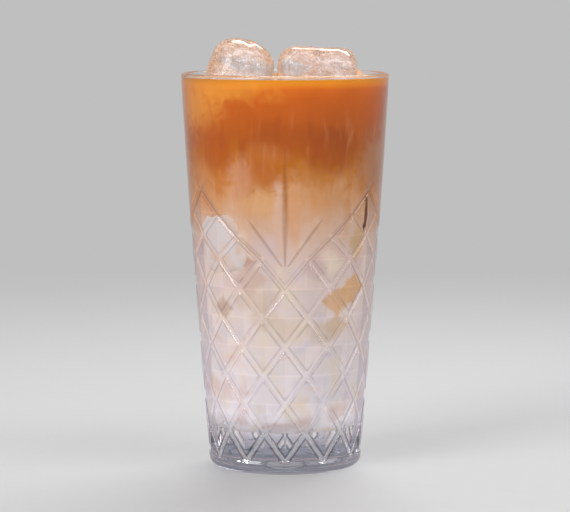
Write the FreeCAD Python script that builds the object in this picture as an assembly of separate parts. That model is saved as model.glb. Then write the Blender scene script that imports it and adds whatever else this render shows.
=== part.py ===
"""Iced coffee in a cut-glass highball: a layered milk and coffee drink with ice.

The glass is a tapered tumbler with a heavy base. Its lower half is cut with crossing
bands that leave rows of low pyramids, whose upper edge rises into three peaks, and a
fan of pointed cuts spreads in each valley between the peaks. The drink fills the bore almost to the rim,
as milk below, a blended band and coffee on top, and three ice cubes stand out of it.

Row frame: millimetres, +Z up, origin at the centre of the foot, and the fan in the
front valley faces -Y.
"""

import math
import os

import FreeCAD
import Part
from FreeCAD import Rotation, Vector

# ---- glass blank -------------------------------------------------------------------
GLASS_HEIGHT = 151.5
RIM_OUTER_R = 40.0
RIM_WALL = 2.2
FOOT_OUTER_R = 29.4
SIDE_BULGE = 0.6
HEEL_R = 3.5
FOOT_RING_WIDTH = 4.2
PUNT_DEPTH = 1.6
BASE_THICKNESS = 15.6
LOWER_WALL = 4.4
BORE_BULGE = 0.5
BORE_FLOOR_FILLET = 10.0

# ---- diamond cutting ---------------------------------------------------------------
DIAMONDS_AROUND = 12
FANS_AROUND = 3
LOWEST_ROW_Z = 5.2
ROW_PITCH = 11.05
FULL_ROWS = 6
PEAK_ROW_PITCH = 8.4
SKIM_DEPTH = 0.06
CORNER_DEPTH = 0.42
BAND_DEPTH = 0.45
BAND_SHARE = 0.1875
CUTTER_REACH = 4.0

# ---- fan cuts ----------------------------------------------------------------------
ARM_WIDTH = 3.4
ARM_DEPTH = 0.9
ARM_TIP_TURN = 9.0
ARM_TIP_RISE = 5.2
INNER_ARM_WIDTH = 4.2
INNER_ARM_DEPTH = 0.75
INNER_ARM_TURN = 25.0
INNER_ARM_RISE = 19.5
STEM_WIDTH = 7.0
STEM_DEPTH = 0.95
STEM_LENGTH = 45.5
FAN_ROOT_RISE = 9.0

# ---- drink -------------------------------------------------------------------------
FILL_GAP = 4.3
COFFEE_DEPTH = 31.0
BLEND_DEPTH = 25.0
LAYER_WAVE = 1.6

# ---- ice ---------------------------------------------------------------------------
# The cubes are packed side by side in the mouth of the glass, so their sizes and places
# are given for a mouth of this radius and follow the real one.
ICE_MOUTH_R = 37.8
# name: sizes, edge radius, centre (x, y, and z above the drink), yaw, pitch, roll
ICE_CUBES = {
    "ice_left": ((24.0, 23.0, 25.0), 7.5, (-17.7, -8.0, 3.9), (14.0, 34.0, 4.0)),
    "ice_right": ((30.5, 19.0, 20.0), 6.5, (12.3, -7.0, 4.4), (-4.0, 2.0, 4.0)),
    "ice_back": ((21.0, 19.0, 22.0), 5.5, (18.6, 16.0, -3.2), (24.0, 12.0, 10.0)),
}

STEP_DEG = 180.0 / DIAMONDS_AROUND
FAN_PERIOD_DEG = 360.0 / FANS_AROUND
FAN_STEPS = 2 * DIAMONDS_AROUND // FANS_AROUND
TOP_ROW = FULL_ROWS + FAN_STEPS // 2
DRINK_Z = GLASS_HEIGHT - FILL_GAP


def outer_radius(z):
    """Radius of the uncut glass at height z, above the heel."""
    t = (z - HEEL_R) / (GLASS_HEIGHT - HEEL_R)
    return FOOT_OUTER_R + (RIM_OUTER_R - FOOT_OUTER_R) * t + SIDE_BULGE * 4 * t * (1 - t)


def polar(radius, degrees, z):
    """Point at an angle turned from the front, -Y, towards +X."""
    turn = math.radians(degrees)
    return Vector(radius * math.sin(turn), -radius * math.cos(turn), z)


def arc_edge(start, middle, end):
    """Arc through three (radius, z) points of a half section."""
    points = [Vector(r, 0, z) for r, z in (start, middle, end)]
    return Part.Arc(*points).toShape()


def line_edge(start, end):
    """Straight edge between two (radius, z) points of a half section."""
    return Part.makeLine(Vector(start[0], 0, start[1]), Vector(end[0], 0, end[1]))


def turned(edges):
    """Solid of revolution about Z of a closed half section."""
    face = Part.Face(Part.Wire(Part.__sortEdges__(edges)))
    return face.revolve(Vector(0, 0, 0), Vector(0, 0, 1), 360)


# ---- glass -------------------------------------------------------------------------
RIM_ROUND = RIM_WALL / 2
BORE_TOP = (RIM_OUTER_R - RIM_WALL, GLASS_HEIGHT - RIM_ROUND)
BORE_LOW_Z = BASE_THICKNESS + BORE_FLOOR_FILLET
BORE_LOW = (outer_radius(BORE_LOW_Z) - LOWER_WALL, BORE_LOW_Z)


def bore_radius(z):
    """Radius of the bore at height z, above its rounded floor corner."""
    t = (z - BORE_LOW[1]) / (BORE_TOP[1] - BORE_LOW[1])
    return BORE_LOW[0] + (BORE_TOP[0] - BORE_LOW[0]) * t + BORE_BULGE * 4 * t * (1 - t)


def bore_edges():
    """Half section edges of the bore, from the rim down to the axis."""
    middle_z = (BORE_TOP[1] + BORE_LOW[1]) / 2
    lean = math.sqrt(0.5)
    corner = (BORE_LOW[0] - BORE_FLOOR_FILLET * (1 - lean),
              BASE_THICKNESS + BORE_FLOOR_FILLET * (1 - lean))
    floor_edge = (BORE_LOW[0] - BORE_FLOOR_FILLET, BASE_THICKNESS)
    return [
        arc_edge(BORE_TOP, (bore_radius(middle_z), middle_z), BORE_LOW),
        arc_edge(BORE_LOW, corner, floor_edge),
        line_edge(floor_edge, (0, BASE_THICKNESS)),
    ]


def glass_blank():
    """The pressed tumbler before it is cut: foot ring, punt, heel, side, rim and bore."""
    foot_r = FOOT_OUTER_R - HEEL_R
    punt_r = foot_r - FOOT_RING_WIDTH
    rim_out = (RIM_OUTER_R, GLASS_HEIGHT - RIM_ROUND)
    rim_top = (RIM_OUTER_R - RIM_ROUND, GLASS_HEIGHT)
    lean = math.sqrt(0.5)
    heel_mid = (foot_r + HEEL_R * lean, HEEL_R * (1 - lean))
    side_low = (FOOT_OUTER_R, HEEL_R)
    side_mid_z = (HEEL_R + rim_out[1]) / 2
    punt_slope = 0.45
    edges = bore_edges()
    edges += [
        line_edge((0, BASE_THICKNESS), (0, PUNT_DEPTH)),
        arc_edge((0, PUNT_DEPTH), (punt_r / 2, PUNT_DEPTH * (1 - punt_slope / 2)), (punt_r, 0)),
        line_edge((punt_r, 0), (foot_r, 0)),
        arc_edge((foot_r, 0), heel_mid, side_low),
        arc_edge(side_low, (outer_radius(side_mid_z), side_mid_z), rim_out),
        arc_edge(rim_out, rim_top, BORE_TOP),
    ]
    return turned(edges)


def row_height(row):
    """Height of a row of cut corners; rows above the full ones form the peaks."""
    if row <= FULL_ROWS + 1:
        return LOWEST_ROW_Z + row * ROW_PITCH
    return row_height(FULL_ROWS + 1) + (row - FULL_ROWS - 1) * PEAK_ROW_PITCH


def lattice_point(step, row, depth, out=0.0):
    """Point at a crossing of the lattice, at a depth under the uncut side."""
    z = row_height(row)
    return polar(outer_radius(z) - depth + out, step * STEP_DEG, z)


def cut_point(label, out=0.0):
    """Place of a labelled point: a pyramid's tip, a crossing, or an edge of a band."""
    if len(label) == 2:
        is_crossing = sum(label) % 2 == 0
        return lattice_point(*label, CORNER_DEPTH + BAND_DEPTH if is_crossing else SKIM_DEPTH, out)
    tip = lattice_point(*label[:2], SKIM_DEPTH, out)
    corner = lattice_point(*label[2:], CORNER_DEPTH, out)
    return tip + (corner - tip) * (1 - BAND_SHARE)


def is_cut(step, row):
    """True if the cell between this step and the next, above this row, is cut."""
    if row < FULL_ROWS:
        return True
    inset = row - FULL_ROWS
    along = step % FAN_STEPS
    return inset <= along < FAN_STEPS - inset


def cell_halves(step, row):
    """The two halves of a cell, each a pyramid's tip and the two crossings beside it."""
    low_left, low_right = (step, row), (step + 1, row)
    up_left, up_right = (step, row + 1), (step + 1, row + 1)
    if (step + row) % 2 == 0:
        return [(low_right, low_left, up_right), (up_left, low_left, up_right)]
    return [(low_left, low_right, up_left), (up_right, low_right, up_left)]


def facet_triangles():
    """Labelled corners of every cut facet and of both flanks of every band."""
    triangles = []
    for row in range(TOP_ROW):
        for step in range(2 * DIAMONDS_AROUND):
            if not is_cut(step, row):
                continue
            for half in cell_halves(step, row):
                if row >= FULL_ROWS and not under_peak(half):
                    continue
                tip, first, second = half
                first_edge, second_edge = tip + first, tip + second
                triangles.append((tip, first_edge, second_edge))
                triangles.append((first_edge, first, second))
                triangles.append((first_edge, second, second_edge))
    return triangles


def under_peak(corners):
    """True if all corners lie on or below the line that rises from valley to peak."""
    for step, row in corners:
        along = step % FAN_STEPS
        if row - FULL_ROWS > min(along, FAN_STEPS - along):
            return False
    return True


def triangle_face(points):
    """Flat face on three points."""
    return Part.Face(Part.makePolygon(list(points) + [points[0]]))


def solid_of(faces):
    """Closed solid of faces that share their edges, turned outside out."""
    shell = Part.makeShell(faces)
    solid = Part.makeSolid(shell)
    if solid.Volume < 0:
        solid.reverse()
    return solid


def round_the_glass(label):
    """The same label for the same place after a whole turn."""
    return tuple(v % (2 * DIAMONDS_AROUND) if i % 2 == 0 else v for i, v in enumerate(label))


def diamond_cutter():
    """Ring whose inner side carries every facet, and which takes the blank down to them."""
    inner, outer, walls = [], [], []
    edge_uses = {}
    for triangle in facet_triangles():
        inner.append(triangle_face([cut_point(label) for label in triangle]))
        outer.append(triangle_face([cut_point(label, CUTTER_REACH) for label in triangle]))
        for index in range(3):
            ends = (triangle[index], triangle[(index + 1) % 3])
            edge_uses.setdefault(frozenset(map(round_the_glass, ends)), []).append(ends)
    for uses in edge_uses.values():
        if len(uses) > 1:
            continue
        first, second = uses[0]
        low = [cut_point(first), cut_point(second)]
        high = [cut_point(first, CUTTER_REACH), cut_point(second, CUTTER_REACH)]
        walls.append(triangle_face([low[0], low[1], high[1]]))
        walls.append(triangle_face([low[0], high[1], high[0]]))
    return solid_of(inner + outer + walls)


def groove(stations):
    """Pointed V cutter through (degrees, z, width, depth) stations along the surface."""
    points = []
    for index, (degrees, z, width, depth) in enumerate(stations):
        before = stations[max(index - 1, 0)]
        after = stations[min(index + 1, len(stations) - 1)]
        here = polar(outer_radius(z), degrees, z)
        along = polar(outer_radius(after[1]), after[0], after[1])
        along = along.sub(polar(outer_radius(before[1]), before[0], before[1]))
        outward = polar(1, degrees, 0)
        side = along.cross(outward).normalize()
        share = (depth + CUTTER_REACH) / depth
        half = side * (width / 2 * share)
        top = here + outward * CUTTER_REACH
        points.append((here - outward * depth, top + half, top - half))
    faces = [triangle_face(points[0]), triangle_face(points[-1])]
    for near, far in zip(points, points[1:]):
        for index in range(3):
            a, b = near[index], near[(index + 1) % 3]
            c, d = far[index], far[(index + 1) % 3]
            faces.append(triangle_face([a, b, d]))
            faces.append(triangle_face([a, d, c]))
    return solid_of(faces)


def fan_grooves(valley_deg):
    """Five pointed cuts of one valley: two arms up the peaks, two inner arms, a stem."""
    root_z = row_height(FULL_ROWS)
    tip_share = 0.12
    tools = []
    for side in (-1, 1):
        arm = [(valley_deg, root_z, ARM_WIDTH * 0.5, ARM_DEPTH * 0.5)]
        for step in range(1, FAN_STEPS // 2 + 1):
            arm.append((valley_deg + side * step * STEP_DEG, row_height(FULL_ROWS + step),
                        ARM_WIDTH, ARM_DEPTH))
        peak_deg, peak_z = arm[-1][:2]
        arm.append((peak_deg + side * ARM_TIP_TURN, peak_z + ARM_TIP_RISE,
                    ARM_WIDTH * tip_share, ARM_DEPTH * tip_share))
        tools.append(groove(arm))
        inner_root_z = root_z + FAN_ROOT_RISE
        shares = ((0.0, 0.35), (0.3, 0.9), (0.65, 1.0), (1.0, tip_share))
        inner = [(valley_deg + side * INNER_ARM_TURN * t, inner_root_z + INNER_ARM_RISE * t,
                  INNER_ARM_WIDTH * w, INNER_ARM_DEPTH * w) for t, w in shares]
        tools.append(groove(inner))
    shares = ((0.0, 0.3), (0.3, 0.8), (0.6, 1.0), (0.85, 0.6), (1.0, tip_share))
    stem = [(valley_deg, root_z + FAN_ROOT_RISE + STEM_LENGTH * t, STEM_WIDTH * w, STEM_DEPTH * w)
            for t, w in shares]
    tools.append(groove(stem))
    return tools


def make_glass():
    """The cut tumbler."""
    glass = glass_blank().cut(diamond_cutter())
    for fan in range(FANS_AROUND):
        for tool in fan_grooves(fan * FAN_PERIOD_DEG):
            glass = glass.cut(tool)
    return glass


# ---- drink and ice -----------------------------------------------------------------
def full_drink():
    """Everything inside the bore up to the level of the drink."""
    edges = bore_edges()
    edges += [
        line_edge((0, BASE_THICKNESS), (0, GLASS_HEIGHT)),
        line_edge((0, GLASS_HEIGHT), (BORE_TOP[0], GLASS_HEIGHT)),
        line_edge((BORE_TOP[0], GLASS_HEIGHT), BORE_TOP),
    ]
    drink = turned(edges)
    reach = 2 * RIM_OUTER_R
    above = Part.makeBox(2 * reach, 2 * reach, reach, Vector(-reach, -reach, DRINK_Z))
    return drink.cut(above)


def above_wave(z, turn):
    """Block above a gently waved surface at height z, to part two layers of the drink."""
    reach = 1.3 * RIM_OUTER_R
    count = 9
    rows = []
    for i in range(count):
        x = -reach + 2 * reach * i / (count - 1)
        row = []
        for j in range(count):
            y = -reach + 2 * reach * j / (count - 1)
            swell = math.sin(x / 13.0 + turn) + math.cos(y / 11.0 - turn)
            row.append(Vector(x, y, z + LAYER_WAVE / 2 * swell))
        rows.append(row)
    surface = Part.BSplineSurface()
    surface.interpolate(rows)
    return surface.toShape().extrude(Vector(0, 0, GLASS_HEIGHT))


def ice_cube(sizes, edge_r, centre, angles):
    """Melted cube with rounded edges, turned in place and as large as the mouth allows."""
    fit = (RIM_OUTER_R - RIM_WALL) / ICE_MOUTH_R
    length, width, height = (fit * size for size in sizes)
    x, y, z = (fit * value for value in centre)
    cube = Part.makeBox(length, width, height, Vector(-length / 2, -width / 2, -height / 2))
    cube = cube.makeFillet(fit * edge_r, cube.Edges)
    place = FreeCAD.Placement(Vector(x, y, DRINK_Z + z), Rotation(*angles))
    return cube.transformGeometry(place.toMatrix())


def main():
    """Writes one STEP file for each piece."""
    os.makedirs("parts", exist_ok=True)
    ice = {name: ice_cube(*values) for name, values in ICE_CUBES.items()}
    drink = full_drink()
    for cube in ice.values():
        drink = drink.cut(cube)
    over_blend = above_wave(DRINK_Z - COFFEE_DEPTH, 0.4)
    over_milk = above_wave(DRINK_Z - COFFEE_DEPTH - BLEND_DEPTH, 2.1)
    pieces = {
        "glass": make_glass(),
        "coffee": drink.common(over_blend),
        "blend": drink.cut(over_blend).common(over_milk),
        "milk": drink.cut(over_milk),
        **ice,
    }
    for name, shape in pieces.items():
        shape = shape.removeSplitter() if name != "glass" else shape
        print(f"{name}: {len(shape.Solids)} solid, {shape.Volume / 1000:.1f} ml, "
              f"{len(shape.Faces)} faces, valid {shape.isValid()}")
        shape.exportStep(f"parts/{name}.step")


main()
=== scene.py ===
"""Iced milk coffee in a cut-glass tumbler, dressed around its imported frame."""
import logging  # noqa: E402
import math  # noqa: E402
from dataclasses import dataclass  # noqa: E402
from enum import Enum  # noqa: E402

import bmesh  # noqa: E402
import bpy  # noqa: E402
from mathutils import Matrix, Vector, noise  # noqa: E402


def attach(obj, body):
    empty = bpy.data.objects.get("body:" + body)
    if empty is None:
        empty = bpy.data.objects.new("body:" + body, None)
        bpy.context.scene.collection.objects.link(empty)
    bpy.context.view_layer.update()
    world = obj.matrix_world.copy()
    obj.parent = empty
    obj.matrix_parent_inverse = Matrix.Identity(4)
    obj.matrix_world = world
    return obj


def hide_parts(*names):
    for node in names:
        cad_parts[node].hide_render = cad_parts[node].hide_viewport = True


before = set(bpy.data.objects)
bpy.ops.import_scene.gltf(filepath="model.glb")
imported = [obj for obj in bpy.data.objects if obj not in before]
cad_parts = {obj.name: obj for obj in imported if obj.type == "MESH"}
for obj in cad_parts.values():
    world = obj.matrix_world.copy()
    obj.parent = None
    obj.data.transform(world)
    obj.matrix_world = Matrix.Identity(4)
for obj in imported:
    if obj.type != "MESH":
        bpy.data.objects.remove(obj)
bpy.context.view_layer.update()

MM = 0.001
BODY = "root"
log = logging.getLogger("iced_coffee")


# ---- small helpers -----------------------------------------------------------------
def polar(radius: float, degrees: float, z: float) -> Vector:
    """Point turned from the front, -Y, towards +X.

    Args:
        radius: distance from the axis.
        degrees: angle from the front.
        z: height.

    Returns:
        The point, in the unit of radius and z.
    """
    turn = math.radians(degrees)
    return Vector((radius * math.sin(turn), -radius * math.cos(turn), z))


def arc(start: tuple, end: tuple, bulge: float, steps: int) -> list:
    """Points along a shallow or round arc between two profile points, without its start.

    Args:
        start: first (radius, z).
        end: last (radius, z).
        bulge: sagitta over half the chord, positive to the right of the way.
        steps: number of points.

    Returns:
        The (radius, z) points.
    """
    (r0, z0), (r1, z1) = start, end
    mid = ((r0 + r1) / 2, (z0 + z1) / 2)
    half = math.hypot(r1 - r0, z1 - z0) / 2
    way = ((r1 - r0) / (2 * half), (z1 - z0) / (2 * half))
    side = (way[1], -way[0])
    sag = bulge * half
    radius = (half * half + sag * sag) / (2 * abs(sag))
    sweep = 2 * math.asin(min(1.0, half / radius))
    off = math.copysign(radius - abs(sag), bulge)
    points = []
    for i in range(1, steps + 1):
        turn = -sweep / 2 + sweep * i / steps
        along = radius * math.sin(turn)
        out = math.copysign(radius * math.cos(turn), bulge) - off
        points.append((mid[0] + way[0] * along + side[0] * out,
                       mid[1] + way[1] * along + side[1] * out))
    return points


def turned(profile: list, columns: int) -> bmesh.types.BMesh:
    """Surface of revolution of a (radius, z) profile in millimetres.

    Args:
        profile: points from one end on the axis to the other.
        columns: number of columns round the axis.

    Returns:
        A closed bmesh in metres, its faces outwards.
    """
    bm = bmesh.new()
    verts = [bm.verts.new((0.0, -r * MM, z * MM)) for r, z in profile]
    edges = [bm.edges.new(pair) for pair in zip(verts, verts[1:])]
    bmesh.ops.spin(bm, geom=verts + edges, cent=(0, 0, 0), axis=(0, 0, 1), dvec=(0, 0, 0),
                   angle=2 * math.pi, steps=columns, use_merge=True)
    bmesh.ops.remove_doubles(bm, verts=bm.verts, dist=1e-6)
    bmesh.ops.recalc_face_normals(bm, faces=bm.faces)
    return bm


@dataclass(frozen=True)
class Melt:
    """How finely a block is meshed and how unevenly its skin has melted, in millimetres."""

    segments: int
    cuts: int
    long_edge: float
    swells: tuple
    depth: float

    def block(self, sizes: tuple, edge_r: float, scale: float, seed: Vector) -> bmesh.types.BMesh:
        """Rounded, melted block round the origin.

        Args:
            sizes: its three sizes before it is scaled.
            edge_r: radius of its edges before it is scaled.
            scale: its scale.
            seed: its place in the noise.

        Returns:
            The block, in metres.
        """
        bm = bmesh.new()
        bmesh.ops.create_cube(bm, size=1.0)
        bmesh.ops.scale(bm, vec=Vector(sizes) * MM * scale, verts=bm.verts)
        bmesh.ops.bevel(bm, geom=bm.edges, offset=edge_r * MM * scale, segments=self.segments,
                        profile=0.5, affect="EDGES", material=-1)
        flat = [e for e in bm.edges if e.calc_length() > self.long_edge * MM]
        bmesh.ops.subdivide_edges(bm, edges=flat, cuts=self.cuts, use_grid_fill=True)
        bmesh.ops.recalc_face_normals(bm, faces=bm.faces)
        for vert in bm.verts:
            swell = sum(share * noise.noise(vert.co / MM / size + seed)
                        for size, share in self.swells)
            vert.co -= vert.normal * (abs(swell) * self.depth * MM)
        return bm


def turn_in_place(degrees: tuple) -> Matrix:
    """Rotation by a (yaw, pitch, roll) in degrees."""
    yaw, pitch, roll = (math.radians(angle) for angle in degrees)
    return (Matrix.Rotation(yaw, 4, "Z") @ Matrix.Rotation(pitch, 4, "Y")
            @ Matrix.Rotation(roll, 4, "X"))


def add_piece(name: str, bm: bmesh.types.BMesh, materials: list,
              replaces: tuple = ()) -> bpy.types.Object:
    """Turns a bmesh into a smooth piece that rides on the body.

    Args:
        name: the piece's name.
        bm: its mesh, which is freed.
        materials: its materials, in the order of their face indices.
        replaces: CAD nodes that it stands for.

    Returns:
        The new object.
    """
    mesh = bpy.data.meshes.new(name)
    for face in bm.faces:
        face.smooth = True
    bm.to_mesh(mesh)
    bm.free()
    piece = bpy.data.objects.new(name, mesh)
    for material in materials:
        mesh.materials.append(material)
    bpy.context.scene.collection.objects.link(piece)
    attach(piece, BODY)
    if replaces:
        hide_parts(*replaces)
    return piece


# ---- sizes of the glass ------------------------------------------------------------
@dataclass(frozen=True)
class Tumbler:
    """Blank of the glass, in millimetres: the same sizes as its solid."""

    height: float = 151.5
    rim_r: float = 40.0
    rim_wall: float = 2.2
    foot_r: float = 29.4
    side_bulge: float = 0.6
    heel_r: float = 3.5
    ring_width: float = 4.2
    punt_depth: float = 1.6
    base_thickness: float = 15.6
    lower_wall: float = 4.4
    bore_bulge: float = 0.5
    floor_fillet: float = 10.0

    def outer(self, z: float) -> float:
        """Radius of the uncut side at height z."""
        t = (z - self.heel_r) / (self.height - self.heel_r)
        return self.foot_r + (self.rim_r - self.foot_r) * t + self.side_bulge * 4 * t * (1 - t)

    def bore_low(self) -> tuple:
        """(radius, z) at which the bore's side meets its floor fillet."""
        z = self.base_thickness + self.floor_fillet
        return self.outer(z) - self.lower_wall, z

    def bore_high(self) -> tuple:
        """(radius, z) at which the bore meets the rim's rounding."""
        return self.rim_r - self.rim_wall, self.height - self.rim_wall / 2

    def bore(self, z: float) -> float:
        """Radius of the bore at height z, above the floor fillet."""
        (r0, z0), (r1, z1) = self.bore_low(), self.bore_high()
        t = (z - z0) / (z1 - z0)
        return r0 + (r1 - r0) * t + self.bore_bulge * 4 * t * (1 - t)

    def bore_profile(self, top_z: float, grow: float = 0.0, rows: int = 20) -> list:
        """Profile of the bore from the axis up to a height.

        Args:
            top_z: height of the last point.
            grow: distance by which it stands into the wall and the floor.
            rows: number of rows up the side.

        Returns:
            (radius, z) points.
        """
        low_r, low_z = self.bore_low()
        flat_r = low_r - self.floor_fillet
        floor_z = self.base_thickness - grow
        points = [(0.0, floor_z), (flat_r * 0.5, floor_z), (flat_r, floor_z)]
        points += arc((flat_r, floor_z), (low_r + grow, low_z), math.tan(math.pi / 8), 8)
        for i in range(1, rows + 1):
            z = low_z + (top_z - low_z) * i / rows
            points.append((self.bore(z) + grow, z))
        return points


ON_EDGE, ON_CORNER = 1e-6, 1e-9


@dataclass(frozen=True)
class DiamondCut:
    """Low pyramids between fluted bands round the glass, rising to a peak between the fans."""

    around: int = 12
    fans: int = 3
    lowest_z: float = 5.2
    pitch: float = 11.05
    full_rows: int = 6
    peak_pitch: float = 8.4
    skim: float = 0.06
    corner_depth: float = 0.42
    flute_share: float = 3 / 16
    flute_depth: float = 0.45

    def step_deg(self) -> float:
        """Angle from a corner of a diamond to its middle."""
        return 180.0 / self.around

    def fan_steps(self) -> int:
        """Steps from one fan to the next."""
        return 2 * self.around // self.fans

    def last_even(self) -> int:
        """The last row that lies a full pitch over the one below."""
        return self.full_rows + 1

    def row_z(self, row: int) -> float:
        """Height of a row of corners."""
        even = min(row, self.last_even())
        return self.lowest_z + even * self.pitch + (row - even) * self.peak_pitch

    def row_at(self, z: float) -> float:
        """Row, with its fraction, at height z."""
        row = (z - self.lowest_z) / self.pitch
        last = self.last_even()
        return row if row <= last else last + (z - self.row_z(last)) / self.peak_pitch

    def top_row(self) -> int:
        """The row of the peaks."""
        return self.full_rows + self.fan_steps() // 2

    def rise(self, step: float) -> float:
        """Rows by which the cutting rises over the full ones at a step round the glass."""
        along = step % self.fan_steps()
        return min(along, self.fan_steps() - along)

    def corner(self, blank: Tumbler, step: int, row: int) -> Vector:
        """Corner or middle of a diamond, in millimetres."""
        z = self.row_z(row)
        depth = self.corner_depth if (step + row) % 2 == 0 else self.skim
        return polar(blank.outer(z) - depth, step * self.step_deg(), z)

    def radius(self, blank: Tumbler, degrees: float, z: float) -> float | None:
        """Radius of the flat facet over a place.

        Args:
            blank: the uncut glass.
            degrees: angle from the front.
            z: height.

        Returns:
            The radius, or None where nothing is cut.
        """
        step, row = degrees / self.step_deg(), self.row_at(z)
        if row < -ON_EDGE or row > self.top_row():
            return None
        if row > self.full_rows and row - self.full_rows > self.rise(step) + ON_EDGE:
            return None
        i, j = math.floor(step + ON_CORNER), max(0, math.floor(row + ON_CORNER))
        along, up = step - i, row - j
        if (i + j) % 2 == 0:
            third = (i + 1, j) if along >= up else (i, j + 1)
            corners = [(i, j), (i + 1, j + 1), third]
            off = abs(along - up)
        else:
            third = (i, j) if along + up <= 1 else (i + 1, j + 1)
            corners = [(i + 1, j), (i, j + 1), third]
            off = abs(along + up - 1)
        a, b, c = (self.corner(blank, s, r) for s, r in corners)
        normal = (b - a).cross(c - a)
        way = polar(1.0, degrees, 0.0)
        flute = max(0.0, 1 - (off / self.flute_share) ** 2) * self.flute_depth
        return (normal.dot(a) - normal.z * z) / normal.dot(way) - flute


# ---- material building -------------------------------------------------------------
MIX_FACTOR, MIX_FIRST, MIX_SECOND = 0, 6, 7
MIX_COLOUR = 2


class Nodes:
    """Short hand for wiring one material's nodes."""

    def __init__(self, tree: bpy.types.NodeTree) -> None:
        """Starts on an empty tree."""
        self.tree = tree
        tree.nodes.clear()

    def add(self, kind: str, inputs: dict | None = None, **settings) -> bpy.types.Node:
        """Adds a node.

        Args:
            kind: the node's type name.
            inputs: input name or index to a value or an output socket.
            **settings: attributes set on the node.

        Returns:
            The node.
        """
        node = self.tree.nodes.new(kind)
        for key, value in settings.items():
            setattr(node, key, value)
        for key, value in (inputs or {}).items():
            if isinstance(value, bpy.types.NodeSocket):
                self.tree.links.new(value, node.inputs[key])
            else:
                node.inputs[key].default_value = value
        return node

    def math(self, operation: str, *values) -> bpy.types.NodeSocket:
        """Result of a Math node on up to three values or sockets."""
        node = self.add("ShaderNodeMath", dict(enumerate(values)), operation=operation)
        return node.outputs[0]

    def mix(self, factor, first, second, blend: str = "MIX") -> bpy.types.NodeSocket:
        """Colour mix of two colours or sockets.

        Args:
            factor: a value or a socket.
            first: the colour at 0.
            second: the colour at 1.
            blend: the blend type.

        Returns:
            The mixed colour.
        """
        node = self.add("ShaderNodeMix", data_type="RGBA", blend_type=blend)
        for index, value in ((MIX_FACTOR, factor), (MIX_FIRST, first), (MIX_SECOND, second)):
            if isinstance(value, bpy.types.NodeSocket):
                self.tree.links.new(value, node.inputs[index])
            elif index == MIX_FACTOR:
                node.inputs[index].default_value = value
            else:
                node.inputs[index].default_value = (*value, 1.0)
        return node.outputs[MIX_COLOUR]

    def ramp(self, value, stops: list, interpolation: str = "LINEAR") -> bpy.types.NodeSocket:
        """Colour ramp.

        Args:
            value: the socket read.
            stops: (position, colour) pairs, in order.
            interpolation: the ramp's interpolation.

        Returns:
            The colour.
        """
        node = self.add("ShaderNodeValToRGB", {0: value})
        node.color_ramp.interpolation = interpolation
        elements = node.color_ramp.elements
        while len(elements) < len(stops):
            elements.new(1.0)
        for element, (position, colour) in zip(elements, stops):
            element.position = position
            element.color = (*colour, 1.0)
        return node.outputs[0]

    def remap(self, value, low: float, high: float, to_low: float = 0.0,
              to_high: float = 1.0, smooth: bool = True) -> bpy.types.NodeSocket:
        """Map Range node.

        Args:
            value: the socket read.
            low: value that goes to to_low.
            high: value that goes to to_high.
            to_low: result at low.
            to_high: result at high.
            smooth: smooth step instead of a straight one.

        Returns:
            The result.
        """
        kind = "SMOOTHSTEP" if smooth else "LINEAR"
        node = self.add("ShaderNodeMapRange",
                        {0: value, 1: low, 2: high, 3: to_low, 4: to_high},
                        interpolation_type=kind)
        return node.outputs[0]

    def noise(self, vector, scale: float, detail: float = 3.0,
              distortion: float = 0.0) -> bpy.types.NodeSocket:
        """Factor of a Noise texture, whose middle is 0.5."""
        node = self.add("ShaderNodeTexNoise", {"Vector": vector, "Scale": scale,
                                               "Detail": detail, "Distortion": distortion})
        return node.outputs[0]

    def between(self, value, rise: tuple, fall: tuple) -> bpy.types.NodeSocket:
        """Mask that rises over one span of values and falls over another."""
        return self.math("MULTIPLY", self.remap(value, *rise), self.remap(value, *fall))

    def signed(self, noisy, reach: float) -> bpy.types.NodeSocket:
        """Noise centred on 0 and scaled to a reach."""
        return self.math("MULTIPLY", self.math("SUBTRACT", noisy, 0.5), reach)

    def total(self, *values) -> bpy.types.NodeSocket:
        """Sum of values and sockets.

        Args:
            *values: two or more of them.

        Returns:
            The sum.
        """
        result = values[0]
        for value in values[1:]:
            result = self.math("ADD", result, value)
        return result

    def coords(self) -> bpy.types.NodeSocket:
        """Object coordinates, in metres."""
        return self.add("ShaderNodeTexCoord").outputs["Object"]

    def height_mm(self, coords) -> bpy.types.NodeSocket:
        """Height of a place, in millimetres."""
        z = self.add("ShaderNodeSeparateXYZ", {0: coords}).outputs[2]
        return self.math("MULTIPLY", z, 1 / MM)

    def turn(self, coords) -> bpy.types.NodeSocket:
        """Angle of a place from the front, -Y, towards +X, in radians."""
        x, y, _ = self.add("ShaderNodeSeparateXYZ", {0: coords}).outputs
        return self.math("ARCTAN2", x, self.math("MULTIPLY", y, -1.0))

    def toned(self, colour, tone) -> bpy.types.NodeSocket:
        """Colour made lighter or darker by a signed share."""
        node = self.add("ShaderNodeHueSaturation",
                        {"Value": self.math("ADD", tone, 1.0), "Color": colour})
        return node.outputs[0]

    def rays(self, *kinds: str) -> bpy.types.NodeSocket:
        """Picks out kinds of rays.

        Args:
            *kinds: names of Light Path's outputs.

        Returns:
            1 for rays of these kinds and 0 for others.
        """
        path = self.add("ShaderNodeLightPath")
        found = path.outputs[kinds[0]]
        for kind in kinds[1:]:
            found = self.math("MAXIMUM", found, path.outputs[kind])
        return found

    def finish(self, shader: bpy.types.Node, through=None, tint: tuple = ()) -> None:
        """Puts a shader out as the material.

        Args:
            shader: the shader's node.
            through: socket that is 1 for rays which go straight through, if any do.
            tint: the colour that those rays take on.
        """
        if through is not None:
            clear = self.add("ShaderNodeBsdfTransparent", {0: (*tint, 1.0)})
            shader = self.add("ShaderNodeMixShader", {0: through, 1: shader.outputs[0],
                                                      2: clear.outputs[0]})
        self.add("ShaderNodeOutputMaterial", {0: shader.outputs[0]})


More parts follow.
